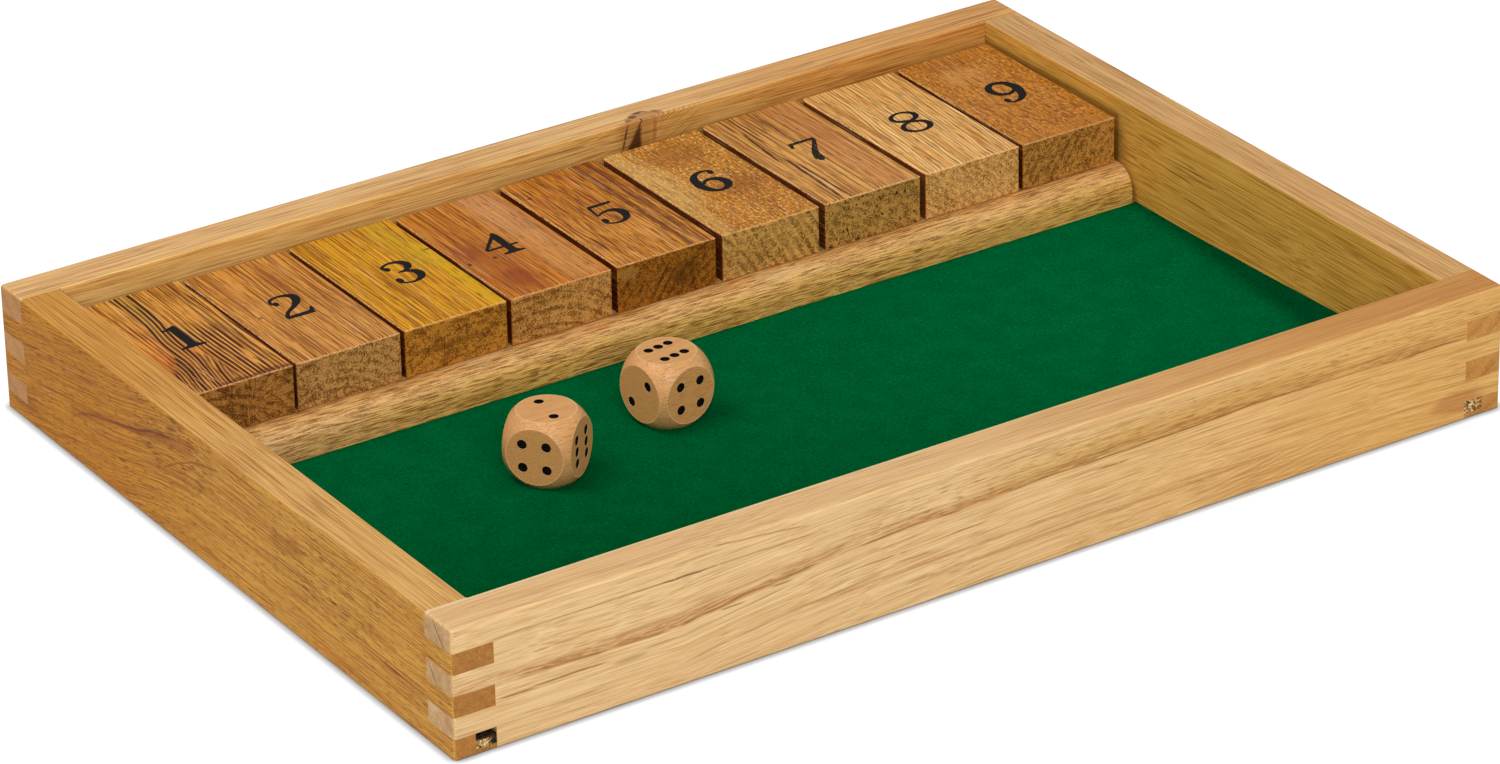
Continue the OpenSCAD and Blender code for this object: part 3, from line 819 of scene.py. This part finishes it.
# %% Tile finishes
TILE_BASE = dict(ring=2.6, wave=0.9, late=0.22, fine=2.6, fine_size=0.65, fine_run=6, fibre=0.12,
                 lines=0.4, line_gap=0.6, line_run=2, blotch=0.12, flecks=0.5, fleck_run=4,
                 end_speckle=2.0, edge_wear_and_highlight=0.9, specular=0.14)
TILE_WOODS = {
    1: dict(pale="e69039", deep="8b440b", ends=("ca873c", "5b310f"), pith=(-150, 2),
            rear=(0.98, 1.23, 1.26), extra=fan_lines, end_marks=rays, lines=0.3, late=0.2),
    2: dict(pale="d79444", deep="8f511a", ends=("d59e58", "79491d"), pith=(-112, -4), wave=0.8,
            end_marks=arcs((-112, 2), (20, 23), "6e431a", 0.4), rear=(1.05, 1.01, 0.76)),
    3: dict(pale="e4a015", deep="995906", ends=("ce8833", "734112"), pith=(-60, -30), wave=0.8,
            rear=(0.99, 1.01, 1.11),
            end_marks=end_items(*streaks("3e220a", (0.8, 0.5, -75.5, 21, -75.3, 27)),
                                (patch, "6e4212", 0.5, (-74, 25), (12, 1.0)))),
    4: dict(pale="cf7e1d", deep="8c4505", ends=("dfa056", "835017"), pith=(-45, -9), wave=0.7,
            fine=2.0, lines=0.15, late=0.12, blotch=0.1,
            end_marks=arcs((-45, -9), (40.5, 31, 35.5), "5e3a16"), rear=(1.0, 1.07, 1.62)),
    5: dict(pale="da9134", deep="83430d", ends=("ad6b1d", "562b04"), pith=(40, -10), fine_run=2.5,
            rear=(0.89, 0.76, 0.43),
            end_marks=end_items(*streaks("36190a", (0.8, 0.7, -7.5, 19, -1.0, 30),
                                         (0.7, 0.5, -5.5, 18, 1.5, 29)),
                                (patch, "3e200a", 0.5, (4, 25), (4, 4)),
                                (patch, "c08a48", 0.5, (-15, 30), (3.2, 2.0)))),
    6: dict(pale="cd811f", deep="7e4005", ends=("edb25f", "875b23"), pith=(-30, -16), fine=1.0,
            fine_run=0.8, lines=0.0, late=0.1, blotch=0.4, fibre=0.2, end_speckle=1.1,
            end_marks=rows_of_dashes(3.2, "5a3a12", 0.9), rear=(1.07, 1.14, 1.29),
            extra=mottled(("f0c878", 0.6, 1.3, 0.8, 0.54, 0.62, 83),
                          ("70380a", 0.6, 1.4, 0.8, 0.56, 0.64, 89))),
    7: dict(pale="e2a556", deep="975e25", ends=("cf9a4b", "7a531f"), pith=(20, -60), wave=0.9,
            end_marks=worm_dots, rear=(0.9, 0.83, 0.7)),
    8: dict(pale="eca855", deep="a2601d", ends=("fec071", "9f6829"), pith=(53, -35), wave=1.5,
            late=0.1, lines=0.1, fine=1.6, end_rings=0.5, ring=1.9,
            end_marks=rows_of_dashes(2.4, "8a5c26", 0.5), rear=(0.97, 0.93, 0.83),
            extra=wavy_stripes),
    9: dict(pale="cc8127", deep="854907", ends=("cf9244", "754b1b"), pith=(250, -40), fine=1.2,
            fine_run=0.8, fibre=0.2, late=0.1, lines=0.05, rear=(1.02, 1.02, 0.98),
            extra=mottled(("eca854", 0.5, 1.1, 0.7, 0.55, 0.62, 97),
                          ("74380a", 0.5, 1.1, 0.6, 0.56, 0.63, 101))),
}
for number, tones in TILE_WOODS.items():
    tones = TILE_BASE | tones
    lay = tile_marks(TILE_MARKS.get(number, []), tones.pop("rear"), tones.pop("extra", None))
    name = "tile_%d" % number
    dress(name, wood(name + "_wood", "y", seed=10 + number, marks=lay, **tones))

# %% [markdown]
# ## Dice
# Each die is a cube cut out of a ball: six round flats and a rounded skin between them. The
# flats are end-sanded and a touch darker. The pips are drilled pits with black paint in them,
# which stops a little short of the rim, so a thin edge of bare wood shows, with a painted
# highlight laid pale along its top.

# %% Dice finish
DICE_TURN = {"die_left": radians(37.5), "die_right": radians(7.7)}
DIE_HALF = 10.0
DIE_BALL = 13.1
PAINT_BELOW = 0.1


def painted_die(name):
    """Straight-grained wood, and paint where a surface is inside both the cube and the ball."""
    low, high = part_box(name)
    middle = (low + high) / 2 / MM
    turn = DICE_TURN[name]

    def paint(f):
        dx, dy, dz = f.x - middle.x, f.y - middle.y, f.z - middle.z
        lx = dx * float(np.cos(turn)) + dy * float(np.sin(turn))
        ly = dy * float(np.cos(turn)) - dx * float(np.sin(turn))
        reach = lx.size().math("MAXIMUM", ly.size()).math("MAXIMUM", dz.size())
        radius = (lx * lx + ly * ly + dz * dz).math("SQRT")
        flat = reach.rise(DIE_HALF - 0.06, DIE_HALF - 0.02)
        f.lay("cc9250", flat * 0.5)
        crest = (radius - DIE_BALL).size().rise(0.25, 0.05) * flat
        f.lay("f2c690", crest * 0.55)
        inside = radius.rise(DIE_BALL - 0.2, DIE_BALL - 0.4)
        pit = reach.rise(DIE_HALF - PAINT_BELOW + 0.04, DIE_HALF - PAINT_BELOW - 0.04) * inside
        # Painted highlight: the top of each pit's wall is laid pale over the bare wood.
        rim = reach.rise(DIE_HALF - 0.01, DIE_HALF - 0.04) * inside
        f.lay("f0d2a8", rim)
        f.lay("0c0908", pit)

    return wood(name + "_wood", "x", "e8ae70", "c4874e", (0, -40), ring=3, seed=30, late=0.15,
                fibre=0.2, lines=0.25, line_gap=0.7, blotch=0.15, pores=0.25, pore_size=0.7,
                pore_tone="b07040", end_speckle=0.1, end_rings=0.1, end_pores=0.0,
                edge_wear_and_highlight=0.0, flecks=0.2, fine=0.6, fine_run=2, cover=paint, rough=0.4)


for name in DICE_TURN:
    dress(name, painted_die(name))

# %% [markdown]
# ## Rod and filler
# The rod is drawn steel: metal with fine scratches, which come from noise stretched along it.
# The groove that holds the floor runs out through the corners, and its open ends are stopped
# with brown filler that dried rough, with lumps, pale curled fibres and dark holes.

# %% Rod
rod = Finish("rod_steel")
scratch = rod.noise(rod.x * 0.4, rod.y * 6, rod.z * 6, detail=3)
rod.blend("b9babd", "8d8f93", scratch.rise(0.4, 0.65))
rod.shader.inputs["Metallic"].default_value = 1.0
dress("hinge_rod", rod.done(scratch, 0.01, rough=0.32))

# %% Putty
def rough_putty(name, seed):
    """Brown filler with pale curled fibres and dark holes. In the front left hole it stops
    short, and painted shade makes it dark there on top and at its right."""
    f = Finish(name, seed)
    lumps = f.noise(f.x * 1.4, f.y * 1.4, f.z * 1.4, detail=3)
    curl = f.noise(f.x * 0.5, f.y * 0.3, f.z * 0.7, detail=1, shift=9)
    f.blend("b98644", "74481a", lumps.rise(0.42, 0.6))
    f.lay("efd7a4", (curl - 0.5).size().rise(0.06, 0.025) * 0.9)
    f.lay("2a1406", lumps.rise(0.6, 0.66))
    if name.startswith("filler_front_left"):
        # Painted shade on the front left filler, which sits back in its hole.
        deep = f.z.rise(3.3, 4.0).math("MAXIMUM", f.x.rise(-160.2, -158.4))
        f.lay("180b03", deep * 0.95)
    return f.done(lumps, 0.4, rough=0.8, specular=0.15)


for seed, name in enumerate(("filler_front_left", "filler_front_right", "filler_back_left",
                             "filler_back_right")):
    dress(name, rough_putty(name + "_putty", 40 + seed))

# %% [markdown]
# ## The numerals
# The numerals are printed in black ink, in an old book face with thick uprights, thin
# joins and ball ends. Each is drawn as a few pen strokes: a smooth curve through knots that
# give the pen's place and its width. The stroke is a strip between the curve's two offset
# sides, closed above and below, as thin as a film of ink. Two parameters run over it: the
# way along the stroke and the side of it.

# %% Strokes
INK_PROUD = 0.03
INK_DEEP = 0.10
INK_STEP = 0.004
STEPS = 10
PEN = 1.32


def smooth_path(knots):
    """A curve through the knots, four at a time: the cubic whose slope at a knot is half the
    step from the knot before to the knot after."""
    k = np.array(knots, float)
    k = np.vstack([2 * k[0] - k[1], k, 2 * k[-1] - k[-2]])
    t = np.linspace(0, 1, STEPS, endpoint=False)[:, None]
    runs = []
    for p0, p1, p2, p3 in zip(k[:-3], k[1:-2], k[2:-1], k[3:]):
        runs.append(0.5 * (2 * p1 + (p2 - p0) * t + (2 * p0 - 5 * p1 + 4 * p2 - p3) * t ** 2
                           + (3 * p1 - p0 - 3 * p2 + p3) * t ** 3))
    return np.vstack([*runs, k[-2]])


def strip(path, z_low, z_high):
    """A closed film along a path of x, y and width: offsets of half the width to each side,
    at two heights. Corner c of point i has the number 4 i + c."""
    x, y, width = path.T
    slope = np.gradient(path[:, :2], axis=0)
    slope /= np.linalg.norm(slope, axis=1)[:, None]
    side = np.stack([-slope[:, 1], slope[:, 0]], 1) * (np.maximum(width * PEN, 0.05) / 2)[:, None]
    middle = np.stack([x, y], 1)
    rows = []
    for xy, z in ((middle + side, z_high), (middle - side, z_high),
                  (middle - side, z_low), (middle + side, z_low)):
        rows.append(np.column_stack([xy, np.full(len(xy), z)]))
    points = np.stack(rows, 1).reshape(-1, 3)
    i = np.arange(len(path) - 1)[:, None, None] * 4
    c = np.arange(4)
    wall = np.stack([c, (c + 1) % 4, (c + 1) % 4 + 4, c + 4], 1)[None] + i
    last = 4 * (len(path) - 1)
    caps = np.array([[3, 2, 1, 0], [last, last + 1, last + 2, last + 3]])
    return points, np.vstack([wall.reshape(-1, 4), caps])


def dot(x, y, radius):
    """A round blob as a short stroke, whose width follows the circle's chord."""
    t = np.linspace(-0.99, 0.99, 16)
    chord = 2 * radius * np.sqrt(1 - t ** 2)
    return np.column_stack([x + radius * t, np.full_like(t, y), chord])


def ring(x, y, rx, ry, top, right, bottom, left):
    """An oval stroke whose width blends between its four sides by squared sine and cosine."""
    t = np.linspace(0, 2 * pi, 49)
    c, s = np.cos(t), np.sin(t)
    width = (np.where(c > 0, right, left) * c ** 2 + np.where(s > 0, top, bottom) * s ** 2)
    return np.column_stack([x + rx * c, y + ry * s, width])


# %% [markdown]
# Each numeral is the place of the middle of its foot, and then its strokes in millimetres
# from there. A list of knots, each x, y and width, is drawn as a smooth curve; dots and rings
# are drawn by their own functions.

# %% Numerals
NUMERALS = {
    1: ((-139.65, 64.4), [
        [(0.1, 0.4, 2.2), (0.1, 7, 2.2), (0.15, 14.2, 2.1)],
        [(-3.5, 13.1, 0.7), (-1.8, 13.1, 0.8), (-0.4, 13.5, 1.2), (1.2, 14.6, 0.5)],
        [(-3.8, 0.5, 0.75), (0, 0.5, 0.9), (3.8, 0.5, 0.75)],
        [(-2.3, 0.8, 0.5), (-0.8, 1.2, 1.3), (1.0, 1.2, 1.3), (2.5, 0.8, 0.5)]]),
    2: ((-105.4, 63.95), [
        dot(-3.2, 10.2, 0.95),
        [(-4.0, 10.2, 0.6), (-4.2, 11.2, 0.7), (-3.6, 13.0, 0.8), (-1.7, 13.9, 0.8),
         (0.6, 13.9, 1.0), (2.7, 12.8, 1.7), (3.3, 11.1, 2.0), (2.4, 8.6, 1.8),
         (0.2, 6.2, 1.2), (-2.5, 4.2, 0.9), (-4.0, 2.2, 1.0), (-4.4, 0.5, 1.1)],
        [(-4.8, 0.8, 1.2), (0, 0.8, 1.45), (3.9, 0.8, 1.4)],
        [(3.1, 1.0, 1.3), (3.8, 2.4, 0.9), (4.2, 3.9, 0.3)]]),
    3: ((-68.9, 63.95), [
        dot(-3.25, 11.2, 1.0),
        [(-4.15, 11.3, 0.5), (-3.8, 13.0, 0.8), (-1.9, 14.1, 0.8), (0.2, 14.2, 1.0),
         (2.2, 13.3, 1.6), (3.1, 11.4, 1.9), (2.5, 9.3, 1.6), (0.8, 8.1, 0.8),
         (-1.5, 7.8, 0.5)],
        [(-1.1, 7.8, 0.5), (0.8, 7.5, 0.9), (2.7, 6.3, 1.7), (3.4, 4.2, 2.1),
         (2.5, 1.9, 1.6), (0.2, 0.55, 0.9), (-2.1, 0.7, 0.7), (-3.9, 1.8, 0.8),
         (-4.5, 3.2, 0.5)],
        dot(-3.7, 3.2, 1.1)]),
    4: ((-37.55, 63.95), [
        [(1.3, 0.5, 1.9), (1.3, 7, 1.9), (1.4, 11.5, 1.9), (1.6, 14.3, 0.9)],
        [(1.9, 14.2, 0.5), (0.1, 11.6, 0.9), (-3.3, 7.7, 0.8), (-5.4, 5.2, 0.7)],
        [(-5.5, 5.0, 0.8), (0, 5.0, 0.8), (4.9, 5.0, 0.7)],
        [(-2.2, 0.6, 0.75), (1, 0.6, 0.9), (4.4, 0.6, 0.75)],
        [(-1.0, 0.9, 0.5), (0.5, 1.2, 1.2), (2.2, 1.2, 1.2), (3.4, 0.9, 0.5)]]),
    5: ((-1.55, 63.1), [
        [(-3.3, 13.2, 1.0), (0, 13.2, 1.1), (4.4, 13.3, 1.0)],
        [(-3.0, 13.0, 0.8), (-3.3, 10.2, 0.7), (-3.6, 6.7, 0.5)],
        [(-3.5, 6.9, 0.4), (-1.7, 8.1, 0.7), (0.5, 8.6, 1.0), (2.7, 7.9, 1.7),
         (3.9, 5.6, 2.1), (3.2, 2.5, 1.7), (1.3, 0.7, 1.0), (-1.4, 0.4, 0.7),
         (-3.5, 1.5, 0.7), (-4.25, 3.1, 0.5)],
        dot(-3.35, 3.3, 1.05)]),
    6: ((33.75, 64), [
        dot(3.4, 12.2, 0.95),
        [(4.2, 12.6, 0.5), (3.8, 13.4, 0.6), (2.5, 13.9, 0.8), (0.6, 14.0, 1.0),
         (-1.5, 13.1, 1.3), (-3.1, 11.0, 1.9), (-3.8, 8.3, 2.2), (-4.0, 5.8, 2.2),
         (-3.3, 3.1, 1.9), (-1.9, 1.1, 1.3), (0.4, 0.3, 1.1)],
        [(-2.6, 6.3, 0.6), (-1.25, 7.9, 0.9), (0.8, 8.4, 1.2), (3.0, 7.2, 1.8),
         (3.9, 4.5, 2.2), (2.8, 1.8, 1.7), (0.4, 0.3, 1.1)]]),
    7: ((69.8, 64.6), [
        [(-3.8, 13.6, 1.2), (-2, 13.7, 1.1), (4.8, 13.8, 1.0)],
        [(-3.5, 13.9, 1.2), (-3.9, 12.3, 0.9), (-4.3, 10.9, 0.6)],
        [(4.6, 13.6, 0.8), (2.7, 10.2, 1.1), (0.8, 7.3, 1.4), (-0.6, 4.4, 1.8),
         (-1.2, 2.1, 2.2), (-1.25, 1.0, 2.2)],
        dot(-1.25, 1.0, 1.1)]),
    8: ((104, 63.85), [
        ring(0.15, 11.2, 3.9, 3.1, 0.8, 1.45, 0.9, 1.2),
        ring(-0.1, 3.9, 4.2, 3.4, 0.8, 1.6, 0.9, 1.35),
        [(-3.0, 9.4, 0.9), (0, 7.8, 1.4), (3.0, 6.2, 1.0)]]),
    9: ((139.7, 64.7), [
        [(2.2, 13.2, 1.0), (-0.5, 14.4, 1.2), (-3.2, 12.9, 1.6), (-4.2, 10.1, 1.8),
         (-3.3, 7.2, 1.5), (-0.7, 5.9, 1.2), (1.8, 7.0, 0.9), (2.7, 8.5, 0.5)],
        [(-0.5, 14.4, 1.2), (2.4, 13.0, 1.8), (3.55, 10.1, 2.2), (3.6, 7.2, 2.2),
         (2.4, 3.4, 1.9), (0.3, 1.1, 1.3), (-1.6, 0.35, 0.9), (-3.4, 0.7, 0.7),
         (-4.5, 2.0, 0.5)],
        dot(-3.75, 2.2, 1.0)]),
}
print("strokes:", sum(len(strokes) for foot, strokes in NUMERALS.values()))


# %% [markdown]
# ## Ink
# Printing ink lies on the wood and doesn't fill every pore, so small flecks of bare wood stay,
# most of all on the seventh tile. A film with two sides and an edge is made rather than a
# picture on the tile: it looks right from any side, and it turns with its tile.

# %% Ink
def solid(name, vertices, faces, material, body):
    """A mesh object at the origin from arrays in metres, riding on a body."""
    mesh = bpy.data.meshes.new(name)
    mesh.from_pydata(vertices.tolist(), [], faces.tolist())
    mesh.update()
    piece = bpy.data.objects.new(name, mesh)
    mesh.materials.append(material)
    scene.collection.objects.link(piece)
    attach(piece, body)
    return piece


def printing_ink(name, wood_tone, wear, seed):
    """Black ink, worn through to the wood in small flecks."""
    f = Finish(name, seed)
    flecks = f.noise(f.x * 3.0, f.y * 1.6, f.z, detail=3).rise(0.68 - wear, 0.78 - wear)
    sheen = f.noise(f.x * 0.8, f.y * 0.8, f.z, detail=2)
    f.blend("0a0807", "161214", sheen)
    f.lay(wood_tone, flecks * 0.75)
    return f.done(sheen, 0.02, rough=0.6, specular=0.15)


for number, ((foot_x, foot_y), strokes) in NUMERALS.items():
    tile = "tile_%d" % number
    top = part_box(tile)[1].z / MM
    points, faces, count = [], [], 0
    for order, path in enumerate(strokes):
        path = smooth_path(path) if isinstance(path, list) else path
        over = INK_PROUD + INK_STEP * order
        p, q = strip(path + (foot_x, foot_y, 0), top - INK_DEEP, top + over)
        points.append(p)
        faces.append(q + count)
        count += len(p)
    wear = 0.08 if number == 7 else 0.0
    ink = printing_ink("ink_%d" % number, TILE_WOODS[number]["pale"], wear, number)
    solid("numeral_%d" % number, np.vstack(points) * MM, np.vstack(faces), ink, tile)
print("numerals:", len(NUMERALS))

# %% [markdown]
# ## Felt
# The felt is one cut sheet, glued to the bottom panel between the divider and the boards. It
# lies flat, except that its right edge was cut a little long and rides up the side board
# towards the front. It is a grid over the two directions of the floor, lifted by a formula,
# with its own thickness under it.

# %% Felt sheet
EDGE_RUN = 9.0
EDGE_LIFT = 2.2
EDGE_LEAST = 0.2
LIFT_FROM = 25.0
LIFT_OVER = 90.0
RIPPLE = 0.04
GRID = (160, 72)


def felt_height(x, y, right):
    """How far the sheet stands off its flat lie: a square rise over the last few millimetres
    before the right board, growing towards the front, and a slight unevenness."""
    edge = np.clip((x - (right - EDGE_RUN)) / EDGE_RUN, 0, 1) ** 2
    front = np.clip((LIFT_FROM - y) / LIFT_OVER, 0, 1) ** 1.6
    ripple = RIPPLE * np.sin(x * 0.11 + 1.3) * np.sin(y * 0.17 + 0.4)
    return edge * (EDGE_LEAST + EDGE_LIFT * front) + ripple


lo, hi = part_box("felt_mat")
nx, ny = GRID
u, v = np.meshgrid(np.linspace(lo.x, hi.x, nx), np.linspace(lo.y, hi.y, ny))
lift = felt_height(u / MM, v / MM, hi.x / MM) * MM
skin = np.stack([u, v, hi.z + lift], -1).reshape(-1, 3)
back = np.stack([u, v, lo.z + np.maximum(lift, 0)], -1).reshape(-1, 3)
i, j = np.meshgrid(np.arange(nx - 1), np.arange(ny - 1))
q = (j * nx + i).ravel()
n = nx * ny
rim = np.concatenate([np.arange(nx), np.arange(1, ny) * nx + nx - 1,
                      (ny - 1) * nx + np.arange(nx - 2, -1, -1), np.arange(ny - 2, 0, -1) * nx])
after = np.roll(rim, -1)
faces = np.vstack([np.stack([q, q + 1, q + nx + 1, q + nx], 1),
                   np.stack([q, q + nx, q + nx + 1, q + 1], 1) + n,
                   np.stack([rim, rim + n, after + n, after], 1)])

f = Finish("felt_cloth")
mottle = f.noise(f.x * 0.12, f.y * 0.12, 0.0, detail=3, shift=5)
fuzz = f.noise(f.x * 1.1, f.y * 1.1, f.z * 1.1, detail=2, rough=0.7)
f.blend("005e30", "00582c", mottle.rise(0.35, 0.65))
f.lay("004220", fuzz.rise(0.5, 0.68) * 0.6)
f.lay("00773e", fuzz.rise(0.42, 0.28) * 0.6)
# Painted shade and light: the felt is darker at the front left and lighter to the right.
f.tint((0.8, 0.8, 0.74), f.x.rise(110.0, -120.0) * f.y.rise(30.0, -70.0))
f.tint((1.0, 0.95, 0.95), f.x.rise(60.0, -60.0))
f.tint((1.0, 1.08, 1.15), f.x.rise(20.0, 120.0))
# Painted shade along the right edge, by the right board, wider towards the front.
f.tint((1.0, 0.5, 0.48), (f.x + f.y.rise(30.0, -60.0) * 6.0).rise(150.0, 158.5))
felt = solid("felt_sheet", np.vstack([skin, back]), faces, f.done(fuzz, 0.2, 1.0, 0.0), "box")
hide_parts("felt_mat")
print("felt: %.1f by %.1f mm" % ((hi.x - lo.x) / MM, (hi.y - lo.y) / MM))

# %% [markdown]
# ## Floor and light
# The tray stands on a wide white floor. The floor keeps the soft shadow that it is lit with,
# and the camera alone sees it lifted towards white by a painted glow, dimmed by a painted
# contact shadow where the tray is near.

# %% Floor
FLOOR_HALF = 8.0
FLOOR_TONE = (0.75, 0.75, 0.75, 1.0)
FLOOR_SEEN = (0.86, 0.86, 0.86, 1.0)
FLOOR_LIFT = 0.8
FLOOR_GLOW = 1.2
CONTACT = 2.8
CONTACT_POWER = 1.8

paper = Finish("paper")
seen = Field(paper, paper.node("ShaderNodeLightPath").outputs["Is Camera Ray"])
paper.colour = paper.over(FLOOR_TONE, FLOOR_SEEN, seen)
paper.done(rough=0.9, specular=0.0)
# Painted contact shadow: the camera's glow is dimmed by ambient occlusion near the tray.
near = paper.node("ShaderNodeAmbientOcclusion", samples=8)
near.inputs["Distance"].default_value = CONTACT * MM
glow = paper.node("ShaderNodeEmission")
glow.inputs["Strength"].default_value = FLOOR_GLOW
paper.feed(glow.inputs["Color"], Field(paper, near.outputs["AO"]).math("POWER", CONTACT_POWER))
mix = paper.node("ShaderNodeMixShader")
for place, value in enumerate((seen * FLOOR_LIFT, paper.shader.outputs[0], glow.outputs[0])):
    paper.feed(mix.inputs[place], value)
paper.feed(paper.tree.nodes["Material Output"].inputs[0], mix.outputs[0])
mesh = bpy.data.meshes.new("floor")
corners = [(i * FLOOR_HALF, j * FLOOR_HALF, 0) for i, j in ((-1, -1), (1, -1), (1, 1), (-1, 1))]
mesh.from_pydata(corners, [], [(0, 1, 2, 3)])
mesh.materials.append(paper.material)
floor = bpy.data.objects.new("floor", mesh)
scene.collection.objects.link(floor)
print("floor:", FLOOR_GLOW, "glow over", FLOOR_LIFT, "of it; contact shade", CONTACT, "mm")

# %% [markdown]
# ## Lamps
# Two large soft lamps light the tray, one from above and one from the front, and a plain white
# sky fills the rest. The larger a lamp looks from the object, the softer its shadow is.

# %% World and lamps
SKY_GLOW = 0.42

world = bpy.data.worlds.new("studio")
scene.world = world
world.use_nodes = True
sky = world.node_tree.nodes["Background"]
sky.inputs["Color"].default_value = (1, 1, 1, 1)
sky.inputs["Strength"].default_value = SKY_GLOW


def lamp(name, size, place, power):
    """A round soft lamp at a place, aimed at the middle of the tray."""
    light = bpy.data.lights.new(name, "AREA")
    light.shape = "DISK"
    light.size = size
    light.energy = power
    holder = bpy.data.objects.new(name, light)
    holder.location = place
    holder.rotation_euler = (-Vector(place)).to_track_quat("-Z", "Y").to_euler()
    scene.collection.objects.link(holder)


lamp("top_soft", size=1.2, place=(-0.9, 0.3, 1.9), power=17)
lamp("front_fill", size=1.6, place=(-0.8, -2.2, 1.5), power=38)
